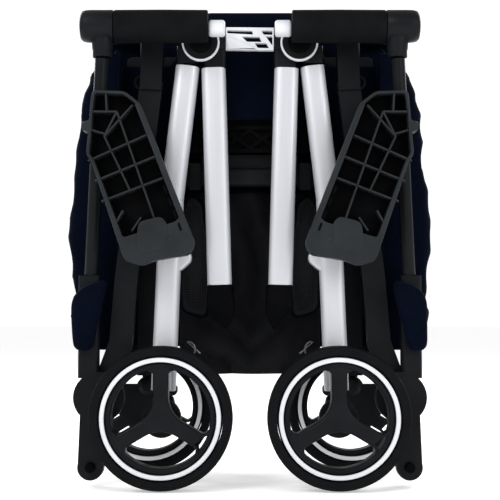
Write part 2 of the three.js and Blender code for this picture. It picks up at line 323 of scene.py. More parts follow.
def curve_mesh(points, radius, closed=False, resolution=6):
    """A round cord or tube of a given radius along the points."""
    curve = bpy.data.curves.new("path", "CURVE")
    curve.dimensions = "3D"
    curve.bevel_depth = radius
    curve.bevel_resolution = resolution
    curve.use_fill_caps = True
    spline = curve.splines.new("POLY")
    spline.points.add(len(points) - 1)
    for point, place in zip(spline.points, points):
        point.co = (*place, 1)
    spline.use_cyclic_u = closed
    return from_curve(curve)


def from_curve(curve):
    holder = bpy.data.objects.new("holder", curve)
    bpy.context.scene.collection.objects.link(holder)
    bpy.context.view_layer.update()
    mesh = bpy.data.meshes.new_from_object(holder.evaluated_get(bpy.context.evaluated_depsgraph_get()))
    bpy.data.objects.remove(holder)
    bpy.data.curves.remove(curve)
    return mesh


def plate(loops, near, far, edge=0.0008, steps=3):
    """Outlines in X and Z, the first one outside and the others holes, made thick along Y."""
    curve = bpy.data.curves.new("outline", "CURVE")
    curve.dimensions = "2D"
    curve.fill_mode = "BOTH"
    curve.extrude = (far - near) / 2 - edge
    curve.bevel_depth = edge
    curve.bevel_resolution = steps
    curve.offset = -edge
    for loop in loops:
        spline = curve.splines.new("POLY")
        spline.points.add(len(loop) - 1)
        for point, (x, z) in zip(spline.points, loop):
            point.co = (x, z, 0, 1)
        spline.use_cyclic_u = True
    mesh = from_curve(curve)
    mesh.transform(Matrix.Translation((0, (near + far) / 2, 0)) @ Matrix.Rotation(math.pi / 2, 4, "X"))
    work = bmesh.new()
    work.from_mesh(mesh)
    bmesh.ops.remove_doubles(work, verts=work.verts, dist=1e-6)
    bmesh.ops.recalc_face_normals(work, faces=work.faces)
    work.to_mesh(mesh)
    work.free()
    return mesh


def fillet(points, radius, steps=5):
    """Rounds the corners of a closed outline. radius is one number, or one for each corner."""
    count = len(points)
    made = []
    for i, here in enumerate(points):
        r = radius[i] if isinstance(radius, (list, tuple)) else radius
        corner = Vector(here)
        back = Vector(points[i - 1]) - corner
        ahead = Vector(points[(i + 1) % count]) - corner
        reach = min(r, back.length * 0.45, ahead.length * 0.45)
        a = corner + back.normalized() * reach
        b = corner + ahead.normalized() * reach
        if reach < 1e-6:
            made.append(tuple(corner))
            continue
        for k in range(steps + 1):
            t = k / steps
            made.append(tuple(a * (1 - t) ** 2 + corner * 2 * t * (1 - t) + b * t * t))
    return made


def circle(x, z, radius, segments=64):
    angles = [i * math.tau / segments for i in range(segments)]
    return [(x + radius * math.cos(a), z + radius * math.sin(a)) for a in angles]


def strip(a, b, width):
    """The four corners of a straight bar between two points of an outline."""
    a, b = Vector(a), Vector(b)
    side = (b - a).normalized().orthogonal() * width / 2
    return [tuple(a + side), tuple(b + side), tuple(b - side), tuple(a - side)]


def mirrored(mesh, side):
    """The mesh as it is for side 1, and mirrored in X for side -1."""
    if side > 0:
        return mesh
    mesh.transform(Matrix.Scale(-1, 4, (1, 0, 0)))
    mesh.flip_normals()
    return mesh


def surface(across, along, place):
    """A grid of quads whose vertices come from place(u, v), u and v from 0 to 1."""
    vertices = [place(i / across, j / along) for j in range(along + 1) for i in range(across + 1)]
    faces = []
    for j in range(along):
        for i in range(across):
            k = j * (across + 1) + i
            faces.append((k, k + 1, k + across + 2, k + across + 1))
    return mesh_of("surface", vertices, faces)


def apply_modifier(made, kind, **values):
    modifier = made.modifiers.new(kind.title(), kind)
    for key, value in values.items():
        setattr(modifier, key, value)
    bpy.context.view_layer.update()
    evaluated = made.evaluated_get(bpy.context.evaluated_depsgraph_get())
    mesh = bpy.data.meshes.new_from_object(evaluated)
    made.modifiers.clear()
    made.data = mesh
    return made


def smoothstep(low, high, value):
    t = min(1, max(0, (value - low) / (high - low)))
    return t * t * (3 - 2 * t)


def between(table, value):
    """Reads a smooth curve through (position, value) pairs."""
    for (a, va), (b, vb) in zip(table, table[1:]):
        if value <= b:
            return va + (vb - va) * smoothstep(a, b, value)
    return table[-1][1]


# ---------------------------------------------------------------- camera, light and floor
LENS = 82.2
SENSOR_WIDTH = 36
CAMERA_PLACE = (0, -1.1, 0.151)
CAMERA_RISE = 3.43
LIT_POINT = Vector((0, 0, 0.22))
FLOOR_SIZE = 40


def studio():
    camera = bpy.data.objects.new("camera", bpy.data.cameras.new("camera"))
    camera.data.lens = LENS
    camera.data.sensor_width = SENSOR_WIDTH
    camera.location = CAMERA_PLACE
    camera.rotation_euler = (math.radians(90 + CAMERA_RISE), 0, 0)
    bpy.context.scene.collection.objects.link(camera)
    bpy.context.scene.camera = camera
    bpy.context.scene.view_settings.view_transform = "Standard"
    world = bpy.data.worlds.new("studio")
    bpy.context.scene.world = world
    world.use_nodes = True
    tree = world.node_tree
    ambient = tree.nodes["Background"]
    ambient.inputs["Color"].default_value = (1, 1, 1, 1)
    ambient.inputs["Strength"].default_value = 0.6
    backdrop = tree.nodes.new("ShaderNodeBackground")
    backdrop.inputs["Color"].default_value = (1, 1, 1, 1)
    backdrop.inputs["Strength"].default_value = 1.1
    mix = tree.nodes.new("ShaderNodeMixShader")
    ray = tree.nodes.new("ShaderNodeLightPath")
    tree.links.new(ray.outputs["Is Camera Ray"], mix.inputs[0])
    tree.links.new(ambient.outputs[0], mix.inputs[1])
    tree.links.new(backdrop.outputs[0], mix.inputs[2])
    tree.links.new(mix.outputs[0], tree.nodes["World Output"].inputs["Surface"])
    lights = (
        ("key", (-1.1, -1.6, 1.5), 0.9, 24),
        ("fill", (1.3, -1.5, 0.9), 1.1, 13),
        ("rim_left", (-1.2, 1.1, 1.2), 0.8, 22),
        ("rim_right", (1.2, 1.1, 1.2), 0.8, 22),
    )
    for name, place, size, power in lights:
        light = bpy.data.objects.new(name, bpy.data.lights.new(name, "AREA"))
        light.data.size = size
        light.data.energy = power
        light.location = place
        light.rotation_euler = (LIT_POINT - Vector(place)).to_track_quat("-Z", "Y").to_euler()
        bpy.context.scene.collection.objects.link(light)
    floor_mesh = surface(8, 8, lambda u, v: Vector(((u - 0.5) * FLOOR_SIZE, (v - 0.5) * FLOOR_SIZE, -0.0004)))
    floor = bpy.data.objects.new("floor", floor_mesh)
    bpy.context.scene.collection.objects.link(floor)
    shader = Shader("floor", (0.9, 0.9, 0.9), 0.8, Emission_Color=(1, 1, 1, 1), Emission_Strength=0.42)
    shader.rough(shader.noise(12, 2), 0.75, 0.85)
    floor.data.materials.append(shader.material)


# ---------------------------------------------------------------- CAD nodes that stay, with rounded edges
def finish_cad(name, material, width):
    """Gives a CAD node its material and bevels its sharp edges."""
    node = nodes[name]
    node.data.materials.clear()
    node.data.materials.append(material)
    node.modifiers.new("weld", "WELD").merge_threshold = 2e-5
    bevel = node.modifiers.new("edges", "BEVEL")
    bevel.width = width
    bevel.segments = 2
    bevel.limit_method = "ANGLE"
    bevel.angle_limit = math.radians(32)
    bevel.harden_normals = False


def kept_nodes():
    for name in ("seat_deck", "cross_bar", "hood_bow"):
        finish_cad(name, BLACK, 0.0009)
    finish_cad("cross_beam", DARK, 0.0009)
    for side, _ in SIDES:
        for stem in ("inner_collar", "push_link", "push_knee", "leg_foot", "rear_leg",
                     "rear_foot", "brake_pedal", "hub_disc", "release_button"):
            finish_cad(f"{stem}_{side}", BLACK, 0.0009)


# ---------------------------------------------------------------- wheels
def wheel(stem, side, body):
    name = f"{stem}_tyre_{side}"
    low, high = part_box(name)
    centre = (low + high) / 2
    radius = (high.z - low.z) / 2
    half = (high.y - low.y) / 2
    bore = radius - 8.6 * MM
    section = [(bore, -half + 3 * MM), (bore + 1.2 * MM, -half + 1.6 * MM)]
    section += [(bore + 2.6 * MM, -half + 1.3 * MM), (bore + 3.0 * MM, -half + 0.5 * MM)]
    section += [(radius - 4.4 * MM, -half + 0.3 * MM)]
    for i in range(9):
        a = math.pi * i / 8 - math.pi / 2
        flat = math.copysign(abs(math.sin(a)) ** 0.6, a)
        section.append((radius - 4.2 * MM + 4.2 * MM * math.cos(a) ** 0.6 if i not in (0, 8) else
                        radius - 4.2 * MM, flat * half))
    for groove in (-4.5 * MM, 4.5 * MM):
        k = next(i for i, (_, y) in enumerate(section) if i > 5 and y > groove)
        section[k:k] = [(radius - 0.2 * MM, groove - 1 * MM), (radius - 1.6 * MM, groove),
                        (radius - 0.2 * MM, groove + 1 * MM)]
    section += [(radius - 4.4 * MM, half - 0.3 * MM), (bore + 3.0 * MM, half - 0.5 * MM)]
    section += [(bore, half - 3 * MM), section[0]]
    section = [section[0]] + sorted(section[1:-2], key=lambda p: p[1]) + section[-2:]
    tyre = lathe(section, centre, (0, 1, 0), 128)
    piece(f"{stem}_tyre_skin_{side}", tyre, TYRE, body, [name], 28)
    rim(stem, side, body, centre, bore)
    ring_name = f"{stem}_ring_{side}"
    ring_low, ring_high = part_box(ring_name)
    outer = (ring_high.z - ring_low.z) / 2
    inner = outer - 3.9 * MM
    front = ring_low.y - centre.y
    profile = [(inner, front + 2 * MM), (inner, front + 0.5 * MM), (inner + 0.5 * MM, front),
               (outer - 0.5 * MM, front), (outer, front + 0.5 * MM), (outer, front + 2 * MM),
               (inner, front + 2 * MM)]
    ring = lathe(profile, centre, (0, 1, 0), 128)
    piece(f"{stem}_ring_skin_{side}", ring, WHITE, body, [ring_name], 50)


def window(spoke, reach, half_root, half_tip):
    """The opening between a spoke and the next one, 120 degrees on."""
    points = []
    following = spoke + math.tau / 3
    root_reach = half_root / math.tan(math.pi / 3)
    for angle, sign in ((spoke, 1), (following, -1)):
        way = Vector((math.cos(angle), math.sin(angle)))
        side = Vector((-way.y, way.x)) * sign
        tip = math.sqrt(reach**2 - half_tip**2)
        points.append((way * tip + side * half_tip, way * root_reach + side * half_root))
    (tip_a, root_a), (tip_b, root_b) = points
    start = math.atan2(tip_a.y, tip_a.x)
    sweep = (math.atan2(tip_b.y, tip_b.x) - start) % math.tau
    angles = [start + sweep * i / 16 for i in range(17)]
    arc = [(reach * math.cos(a), reach * math.sin(a)) for a in angles]
    root = (root_a + root_b) / 2
    return fillet(arc[1:-1] + [tuple(tip_b * 0.93), tuple(root), tuple(tip_a * 0.93)],
                  [0] * 15 + [11 * MM, 24 * MM, 11 * MM], 8)


def rim(stem, side, body, centre, bore):
    name = f"{stem}_rim_{side}"
    low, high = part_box(name)
    near, far = low.y, high.y
    rim_radius = (high.z - low.z) / 2
    windows = []
    for i in range(3):
        hole = window(math.pi / 2 + i * math.tau / 3, 43.6 * MM, 6.6 * MM, 7.4 * MM)
        windows.append([(centre.x + x, centre.z + z) for x, z in hole])
    disc = circle(centre.x, centre.z, 47.5 * MM, 96)
    web = plate([disc] + windows, near + 0.4 * MM, far - 0.4 * MM, 2.6 * MM, 4)
    band = [(43.6 * MM, -8 * MM), (47.6 * MM, -9.6 * MM), (48.4 * MM, -8.2 * MM), (53.6 * MM, -8.2 * MM),
            (rim_radius, -9.8 * MM), (rim_radius, 9.8 * MM), (53.6 * MM, 8.6 * MM), (48.4 * MM, 8.6 * MM),
            (47.6 * MM, 9.6 * MM), (43.6 * MM, 8 * MM), (43.6 * MM, -8 * MM)]
    ring = lathe(band, centre, (0, 1, 0), 128)
    dome = [(0, -9.4 * MM), (9.5 * MM, -9.3 * MM), (9.5 * MM, 6 * MM), (9 * MM, 11 * MM), (0, 11.4 * MM)]
    hub = lathe(dome, centre, (0, 1, 0), 64)
    skin = joined("rim", [web, ring, hub])
    piece(f"{stem}_rim_skin_{side}", skin, BLACK, body, [name], 40)


# ---------------------------------------------------------------- tubes and handles
def tubes():
    for side, sign in SIDES:
        low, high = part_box(f"inner_tube_{side}")
        radius = 10.9 * MM
        y = (low.y + high.y) / 2
        top, end = (-34 * MM, y, high.z), (-28 * MM, y, low.z)
        inner = squared(bar(top, end, radius, 0.3 * MM), top, end, widen=1.03)
        piece(f"inner_tube_skin_{side}", mirrored(inner, sign), SILVER, "seat_frame",
              [f"inner_tube_{side}"])
        low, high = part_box(f"leg_tube_{side}")
        knee = Vector((-73 * MM, y, 257 * MM))
        top = Vector((-58 * MM, y, high.z - 1.2 * MM))
        foot = Vector((-79.4 * MM, y, low.z))
        upper = squared(bar(top, knee, radius, 0.3 * MM), top, knee, 3.1, 1.01)
        lower = squared(bar(knee + (top - knee) * 0.02, foot, radius, 0.3 * MM), knee, foot, widen=1.03)
        tube = joined("tube", [upper, lower])
        gusset = fillet([(-66, 218), (-57, 214), (-53.6, 209), (-54.2, 203), (-62, 196), (-74, 190)], 3, 4)
        wedge = plate([[(x * MM, z * MM) for x, z in gusset]], y - 8 * MM, y + 8 * MM, 2 * MM)
        piece(f"leg_tube_skin_{side}", mirrored(joined("leg", [tube, wedge]), sign), SILVER,
              f"front_leg_{side}", [f"leg_tube_{side}"], 45)
        low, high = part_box(f"push_tube_{side}")
        push = bar((-145.4 * MM, -55 * MM, low.z), (-134 * MM, -80 * MM, high.z), 6.1 * MM, 0.5 * MM, 40)
        piece(f"push_tube_skin_{side}", mirrored(push, sign), BLACK, f"push_bar_{side}",
              [f"push_tube_{side}"])
        low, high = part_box(f"hub_ring_{side}")
        centre = (low + high) / 2
        outer = (high.x - low.x) / 2
        inner = outer - 1.7 * MM
        face = low.y - centre.y
        profile = [(inner, face + 4 * MM), (inner, face + 0.4 * MM), (inner + 0.5 * MM, face),
                   (outer - 0.5 * MM, face), (outer, face + 0.5 * MM), (outer, face + 4 * MM),
                   (inner, face + 4 * MM)]
        piece(f"hub_ring_skin_{side}", lathe(profile, centre, (0, 1, 0), 96), WHITE,
              f"front_leg_{side}", [f"hub_ring_{side}"], 50)
        cap = [(0, -1.9 * MM), (9 * MM, -1.5 * MM), (10.4 * MM, -0.7 * MM), (10.4 * MM, 0.2 * MM),
               (0, 0.4 * MM)]
        at = Vector((centre.x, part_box(f"hub_disc_{side}")[0].y, centre.z))
        piece(f"hub_cap_{side}", lathe(cap, at, (0, 1, 0), 64), DARK, f"front_leg_{side}")


ELBOW_FACE = ((-38.6, 181.6), (-17, 181.6), (-18, 176), (-31, 161), (-38.6, 161))
ELBOW_CHEEK = ((-14.5, 180.5), (-13.8, 154), (-21.7, 140), (-38, 155))
ELBOW_REAR = ((-37.5, 181), (-15, 181), (-15, 152), (-22, 142), (-37, 152))


def elbows():
    """Faceted knuckles that close the inner tubes and turn back towards the basket."""
    for side, sign in SIDES:
        work = bmesh.new()
        for outline, y in ((ELBOW_FACE, -57), (ELBOW_CHEEK, -49), (ELBOW_REAR, -32)):
            for x, z in outline:
                work.verts.new((x * MM, y * MM, z * MM))
        hull = bmesh.ops.convex_hull(work, input=work.verts)
        bmesh.ops.delete(work, geom=hull["geom_interior"], context="VERTS")
        bmesh.ops.recalc_face_normals(work, faces=work.faces)
        mesh = bpy.data.meshes.new("elbow")
        work.to_mesh(mesh)
        work.free()
        made = piece(f"elbow_skin_{side}", mirrored(mesh, sign), DARK, None,
                     [f"inner_elbow_{side}"], 40)
        apply_modifier(made, "BEVEL", width=0.0014, segments=3, angle_limit=math.radians(14))
        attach(made, "seat_frame")


BRIDGE_SLOTS = (
    ((-21.2, 418), (1.8, 417.4), (3.1, 413.9), (-21.2, 415.2)),
    ((10.8, 417.6), (20.8, 417.4), (20.8, 413.6), (12.6, 413.9)),
    ((-7.5, 412), (8.9, 411.6), (10.9, 406.9), (-2.8, 407.2)),
    ((4.4, 405.8), (15.1, 405.8), (17.9, 401.2), (7.2, 401.4)),
    ((14.8, 412.2), (20.8, 412), (20.8, 403.4)),
)
BRIDGE_OUTLINE = ((-22.4, 399.6), (21.9, 399), (22.2, 420.4), (-22.4, 420.8))
BRIDGE_WEDGE = ((-22.2, 412.6), (6.2, 400), (-20.4, 399.8))


def bridge():
    """The slotted lattice between the two hub rings."""
    low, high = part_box("hub_bridge")
    loops = [[(x * MM, z * MM) for x, z in BRIDGE_OUTLINE]]
    loops += [fillet([(x * MM, z * MM) for x, z in slot], 0.7 * MM, 3) for slot in BRIDGE_SLOTS]
    wedge = fillet([(x * MM, z * MM) for x, z in BRIDGE_WEDGE], 1 * MM, 3)
    lattice = plate(loops, low.y + 1 * MM, high.y, 0.4 * MM, 2)
    brace = plate([wedge], low.y - 1.2 * MM, high.y - 2 * MM, 0.6 * MM)
    skin = joined("bridge", [lattice, brace])
    piece("bridge_lattice", skin, WHITE, "seat_frame", ["hub_bridge"], 40)


def handles():
    for side, sign in SIDES:
        body = f"push_bar_{side}"
        low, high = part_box(f"grip_{side}")
        y, z = (low.y + high.y) / 2, (low.z + high.z) / 2
        radius = (high.z - low.z) / 2
        outer, inner = (low.x, high.x) if sign > 0 else (-high.x, -low.x)
        foam = bar((outer, y, z), (inner, y, z), radius, 1.6 * MM, 96, 0.25 * MM)
        piece(f"grip_foam_{side}", mirrored(foam, sign), FOAM, body, [f"grip_{side}"], 50)
        cap_low, cap_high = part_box(f"grip_elbow_{side}")
        cap_outer = cap_low.x if sign > 0 else -cap_high.x
        length = outer - 0.4 * MM - cap_outer
        profile = [(0, 0), (radius * 0.55, 0.15 * MM), (radius * 0.8, 0.8 * MM), (radius * 0.93, 2.6 * MM),
                   (radius * 0.985, 6 * MM), (radius, 10 * MM), (radius, length - 0.8 * MM),
                   (radius - 0.6 * MM, length), (0, length)]
        cap = lathe(profile, (cap_outer, y, z), (1, 0, 0), 96)
        neck = [(0, 0), (8.2 * MM, 0), (8.6 * MM, 0.6 * MM), (8.6 * MM, 6 * MM), (9.2 * MM, 8 * MM),
                (9.6 * MM, 14 * MM), (10.2 * MM, 19 * MM), (0, 22 * MM)]
        socket = lathe(neck, (-133.5 * MM, y, cap_low.z), (0, 0, 1), 64)
        piece(f"grip_cap_{side}", mirrored(joined("cap", [cap, socket]), sign), BLACK, body,
              [f"grip_elbow_{side}"], 40)
        end_low, end_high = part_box(f"grip_end_{side}")
        start, stop = (end_low.x, end_high.x) if sign > 0 else (-end_high.x, -end_low.x)
        end_z = (end_low.z + end_high.z) / 2
        end = bar((start, y, end_z), (stop, y, end_z), 7.6 * MM, 2.6 * MM, 64)
        piece(f"grip_end_skin_{side}", mirrored(end, sign), WHITE, body,
              [f"grip_end_{side}"], 50)


# ---------------------------------------------------------------- foot plates
FOOT_OUTLINE = [
    (-140, 353), (-111, 352), (-97, 341), (-49, 219), (-50, 213), (-54, 207), (-84, 202), (-96, 197),
    (-109, 201), (-112, 206), (-140, 289), (-145, 296), (-143, 316), (-149, 317), (-149, 325), (-142, 326),
    (-142, 332),
]
FOOT_POCKET = [
    (-137.6, 350.4), (-112, 349.4), (-101.5, 341), (-62, 240), (-66, 236), (-112, 222), (-137.6, 290),
    (-142.2, 297), (-140.4, 316), (-139.6, 332),
]
FOOT_RIBS = (
    ((-118, 334), (-84, 238)), ((-129, 312), (-106, 264)), ((-143, 290), (-92, 313)),
    ((-137, 272), (-84, 294)), ((-131, 254), (-77, 275)), ((-141, 334), (-118, 334)),
    ((-128, 352), (-127, 334)), ((-104, 340), (-129, 312)), ((-118, 334), (-129, 312)),
    ((-142, 318), (-128, 314)), ((-96, 240), (-104, 228)), ((-112, 246), (-120, 232)),
)
FOOT_BOSSES = ((-84, 225), (-70, 221))
FOOT_NOTCH = ((-98, 236), (-78, 241), (-72, 233), (-74, 212), (-97, 206), (-101, 216))


def foot_plates():
    for side, sign in SIDES:
        low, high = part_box(f"foot_plate_{side}")
        near, far = low.y, high.y
        outline = fillet([(x * MM, z * MM) for x, z in FOOT_OUTLINE], 4 * MM, 4)
        pocket = fillet([(x * MM, z * MM) for x, z in FOOT_POCKET], 3 * MM, 4)
        parts = [plate([outline], far - 4 * MM, far, 0.8 * MM)]
        parts.append(plate([outline, pocket], near, far - 3 * MM, 0.7 * MM))
        # A dark sheet laid over the pocket floor behind the ribs: painted shade that makes the pocket look
        # deep.
        pocket_painted_shade = mirrored(plate([pocket], far - 4.3 * MM, far - 3.5 * MM, 0.1 * MM, 1), sign)
        piece(f"foot_lining_{side}", pocket_painted_shade, DARK, f"foot_plate_{side}")
        for a, b in FOOT_RIBS:
            rib = strip([v * MM for v in a], [v * MM for v in b], 1.7 * MM)
            parts.append(plate([rib], near + 1.2 * MM, far - 3 * MM, 0.35 * MM, 2))
        lip = strip((-100 * MM, 341 * MM), (-55 * MM, 226 * MM), 4.6 * MM)
        parts.append(plate([lip], near - 0.1 * MM, near + 5 * MM, 1.2 * MM))
        for x, z in FOOT_BOSSES:
            boss = [(0, 0), (2.4 * MM, 0), (2.8 * MM, 0.4 * MM), (2.8 * MM, 3 * MM), (0, 3 * MM)]
            parts.append(lathe(boss, (x * MM, near - 0.6 * MM, z * MM), (0, 1, 0), 32))
        notch = fillet([(x * MM, z * MM) for x, z in FOOT_NOTCH], 5 * MM, 5)
        parts.append(plate([notch], near - 0.5 * MM, near + 4 * MM, 1 * MM))
        piece(f"foot_plate_skin_{side}", mirrored(joined("foot", parts), sign), FOOT,
              f"foot_plate_{side}", [f"foot_plate_{side}"], 40)
        # Thin dark plates on the plate's face where its slots are: painted shade that stands in for the depth
        # of the slots.
        for k in range(4):
            z = 228 + 11 * k
            x = -60.5 - 4.4 * k
            slot = fillet(strip((x * MM, z * MM), ((x - 2.6) * MM, (z + 7) * MM), 2.2 * MM), 1 * MM, 3)
            dark = plate([slot], near - 0.15 * MM, near + 1 * MM, 0.1 * MM, 1)
            piece(f"foot_slot_{side}_{k}", mirrored(dark, sign), DARK, f"foot_plate_{side}")


# ---------------------------------------------------------------- padded fabric
PRESSURE_STEPS = 20
SEAT_OUTLINE = (
    (-66, -29), (66, -29), (70, 2), (112, 11), (112, 60), (-112, 60), (-112, 11), (-70, 2),
)
SEAT_SEAMS = (-0.045, 0.045)
SEAT_FACE = 0.418
SIDE_PAD_OUTLINE = ((-160, 122), (-142, 119.5), (-127, 188), (-148, 182), (-156, 177), (-162, 166))
BACK_SEAMS = (0.20, 0.265, 0.33)


def inflate(made, voxel, pressure, cap):
    """Voxel remesh, then a short pressure simulation whose movement is capped."""
    apply_modifier(made, "REMESH", mode="VOXEL", voxel_size=voxel)
    before = [v.co.copy() for v in made.data.vertices]
    cloth = made.modifiers.new("cloth", "CLOTH")
    settings = cloth.settings
    settings.quality = 5
    settings.mass = 0.3
    settings.use_pressure = True
    settings.uniform_pressure_force = pressure
    settings.tension_stiffness = 12
    settings.effector_weights.gravity = 0
    scene = bpy.context.scene
    for step in range(1, PRESSURE_STEPS + 1):
        scene.frame_set(step)
    after = made.evaluated_get(bpy.context.evaluated_depsgraph_get()).to_mesh()
    for vertex, rest, moved in zip(made.data.vertices, before, [v.co.copy() for v in after.vertices]):
        shift = moved - rest
        if shift.length > cap:
            shift *= cap / shift.length
        vertex.co = rest + shift
    made.modifiers.clear()
    scene.frame_set(1)
    apply_modifier(made, "SMOOTH", factor=0.6, iterations=4)
    apply_modifier(made, "SUBSURF", levels=1, render_levels=1)
    made.data.shade_smooth()
    return made


def cushion_block(low, high, corner):
    """A closed block with rounded vertical corners, as a coarse start for a cushion."""
    outline = fillet([(low.x, low.z), (high.x, low.z), (high.x, high.z), (low.x, high.z)], corner, 6)
    return plate([outline], low.y, high.y, min(0.004, (high.y - low.y) * 0.3), 3)


def piping(name, points, radius, body, closed=False):
    cord = curve_mesh(points, radius, closed, 4)
    piece(name, cord, PIPING, body, smooth=60)


def wrinkle(point, amount, scale=22, seed=0.0):
    return amount * noise.noise(Vector((point.x * scale + seed, point.y * scale, point.z * scale * 0.6)))


def seat_pad():
    low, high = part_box("seat_pad")
    outline = fillet(SEAT_OUTLINE, 8, 5)
    block = plate([[(x * MM, y * MM) for x, y in outline]], -high.z - 2 * MM, -low.z - 3.5 * MM, 5 * MM, 3)
    block.transform(Matrix.Rotation(-math.pi / 2, 4, "X"))
    made = piece("seat_cushion", block, NAVY, None, ["seat_pad"], 60)
    inflate(made, 0.005, 4, 0.006)
    for vertex in made.data.vertices:
        co = vertex.co
        channel = sum(math.exp(-(((co.x - x) / 0.004) ** 2)) for x in SEAT_SEAMS)
        if co.z > SEAT_FACE:
            co.z -= 0.0035 * channel
        co.z = min(co.z + wrinkle(co, 0.0012), high.z + 3 * MM)
        if co.z > SEAT_FACE:
            co.z -= 0.016 * smoothstep(0.0, 0.06, co.y) * (co.z - SEAT_FACE) / 0.023
    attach(made, "seat_frame")


def side_pads():
    for side, sign in SIDES:
        low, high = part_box(f"side_pad_{side}")
        outline = fillet([(x * MM, z * MM) for x, z in SIDE_PAD_OUTLINE], 8 * MM, 5)
        block = plate([outline], low.y + 2 * MM, high.y - 1 * MM, 4 * MM, 3)
        made = piece(f"side_pad_skin_{side}", mirrored(block, sign), NAVY, None,
                     [f"side_pad_{side}"], 60)
        inflate(made, 0.003, 4, 0.003)
        for vertex in made.data.vertices:
            vertex.co.x += wrinkle(vertex.co, 0.0012, 40)
            vertex.co.y += wrinkle(vertex.co, 0.0022, 45, 3.0)
        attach(made, f"push_bar_{side}")


def back_panels():
    for name in ("lower_back", "upper_back"):
        low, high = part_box(name)
        inset = Vector((4 * MM, 1.6 * MM, 4 * MM))
        block = cushion_block(low + inset, high - inset, 0.014)
        made = piece(f"{name}_panel", block, NAVY, None, [name], 60)
        inflate(made, 0.004, 3, 0.0016)
        middle = (low.y + high.y) / 2
        for vertex in made.data.vertices:
            co = vertex.co
            line = sum(math.exp(-(((co.z - z) / 0.0035) ** 2)) for z in BACK_SEAMS)
            co.y += (middle - co.y) * 0.35 * min(line, 1)
        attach(made, name)


# Half-width of the hood's front against height: the fabric bulges between its ties.
HOOD_WIDTH = (
    (0.120, 0.159), (0.136, 0.168), (0.156, 0.169), (0.168, 0.1655), (0.182, 0.1675), (0.229, 0.172),
    (0.263, 0.1695), (0.302, 0.1655), (0.342, 0.163), (0.362, 0.159), (0.378, 0.153), (0.398, 0.143),
)


def hood():
    low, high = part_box("hood")
    bottom, top, rear_rise = 0.122, 0.402, 0.034
    front, back = low.y + 0.002, high.y - 0.002
    lip, edge, corner = 0.1225, 0.009, 0.034

    def place(u, v):
        rear = smoothstep(0.20, 0.26, min(u, 1 - u))
        z = bottom + (top + rear_rise * rear - bottom) * v
        half = between(HOOD_WIDTH, min(z, top))
        turn = math.pi / 2
        runs = (half - edge - lip, edge * turn, back - corner - front - edge, corner * turn, half - corner)
        s = min(u, 1 - u) * 2 * sum(runs)
        sign = -1 if u < 0.5 else 1
        k = 0
        while k < 4 and s > runs[k]:
            s -= runs[k]
            k += 1
        if k == 0:
            x, y, nx, ny = lip + s, front, 0.0, -1.0
        elif k == 1:
            a = s / edge
            nx, ny = math.sin(a), -math.cos(a)
            x, y = half - edge + edge * nx, front + edge + edge * ny
        elif k == 2:
            x, y, nx, ny = half, front + edge + s, 1.0, 0.0
        elif k == 3:
            a = s / corner
            nx, ny = math.cos(a), math.sin(a)
            x, y = half - corner + corner * nx, back - corner + corner * ny
        else:
            x, y, nx, ny = half - corner - s, back, 0.0, 1.0
        x += 0.006 * smoothstep(-0.02, 0.05, y) * smoothstep(0.05, 0.12, x)
        spot = Vector((sign * x, y, z))
        fold = 0.0022 * math.sin(z * 95 + 2.2 * math.sin(y * 40) + sign * 0.4)
        fold += 0.004 * noise.noise(Vector((spot.x * 9, spot.y * 16, z * 14)))
        fold += 0.0016 * noise.noise(Vector((spot.x * 34, spot.y * 34, z * 50)))
        depth = -abs(fold) * (0.5 if ny < -0.5 else 0.8)
        return spot + Vector((sign * nx * depth, ny * depth, 0))

    shell = surface(260, 90, place)
    made = piece("hood_shell", shell, NAVY, None, ["hood"], 70)
    apply_modifier(made, "SOLIDIFY", thickness=0.0024, offset=-1)
    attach(made, "upper_back")
    for label, v in (("low", 0.006), ("high", 0.994)):
        line = [place(i / 160, v) for i in range(161)]
        piping(f"hood_hem_{label}", line, 0.0014, "upper_back")
    for label, u in (("left", 0.002), ("right", 0.998)):
        line = [place(u, i / 60) for i in range(61)]
        piping(f"hood_edge_{label}", line, 0.0015, "upper_back")
    for label, u in (("a", 0.33), ("b", 0.5), ("c", 0.67)):
        line = [place(u, i / 60) for i in range(61)]
        piping(f"hood_seam_{label}", line, 0.0009, "upper_back")


ROOF_WIDTH = 0.292
ROOF_REAR_Y = 0.0935
ROOF_REAR_Z = 0.431
ROOF_GATHERS = 3


def hood_roof():
    """Gathered roof fabric between the hood's rear edge and its bow."""
    _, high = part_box("hood_bow")
    bow_y, bow_z = high.y - 4 * MM, high.z - 5 * MM

    def place(u, v):
        x = (u - 0.5) * ROOF_WIDTH
        uneven = 1 + 0.2 * noise.noise(Vector((x * 14, v * 3, 1)))
        fold = 0.0072 * (1 - math.cos(v * math.tau * ROOF_GATHERS)) * uneven
        y = ROOF_REAR_Y + (bow_y - ROOF_REAR_Y) * v
        z = ROOF_REAR_Z + (bow_z - ROOF_REAR_Z) * v + fold
        return Vector((x, y, z))

    made = piece("hood_roof", surface(120, 72, place), NAVY, None, smooth=70)
    apply_modifier(made, "SOLIDIFY", thickness=0.001, offset=0)
    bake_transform(made)
    wrap = curve_mesh([Vector(((i / 40 - 0.5) * 0.29, bow_y, bow_z + 1 * MM)) for i in range(41)], 0.0052)
    piece("bow_sleeve", wrap, NAVY, "hood_bow", smooth=60)


SKIRT_WIDTH = 0.242
SKIRT_TOP = 0.4035
SKIRT_BOTTOM = 0.339
SKIRT_FACE = -0.0268


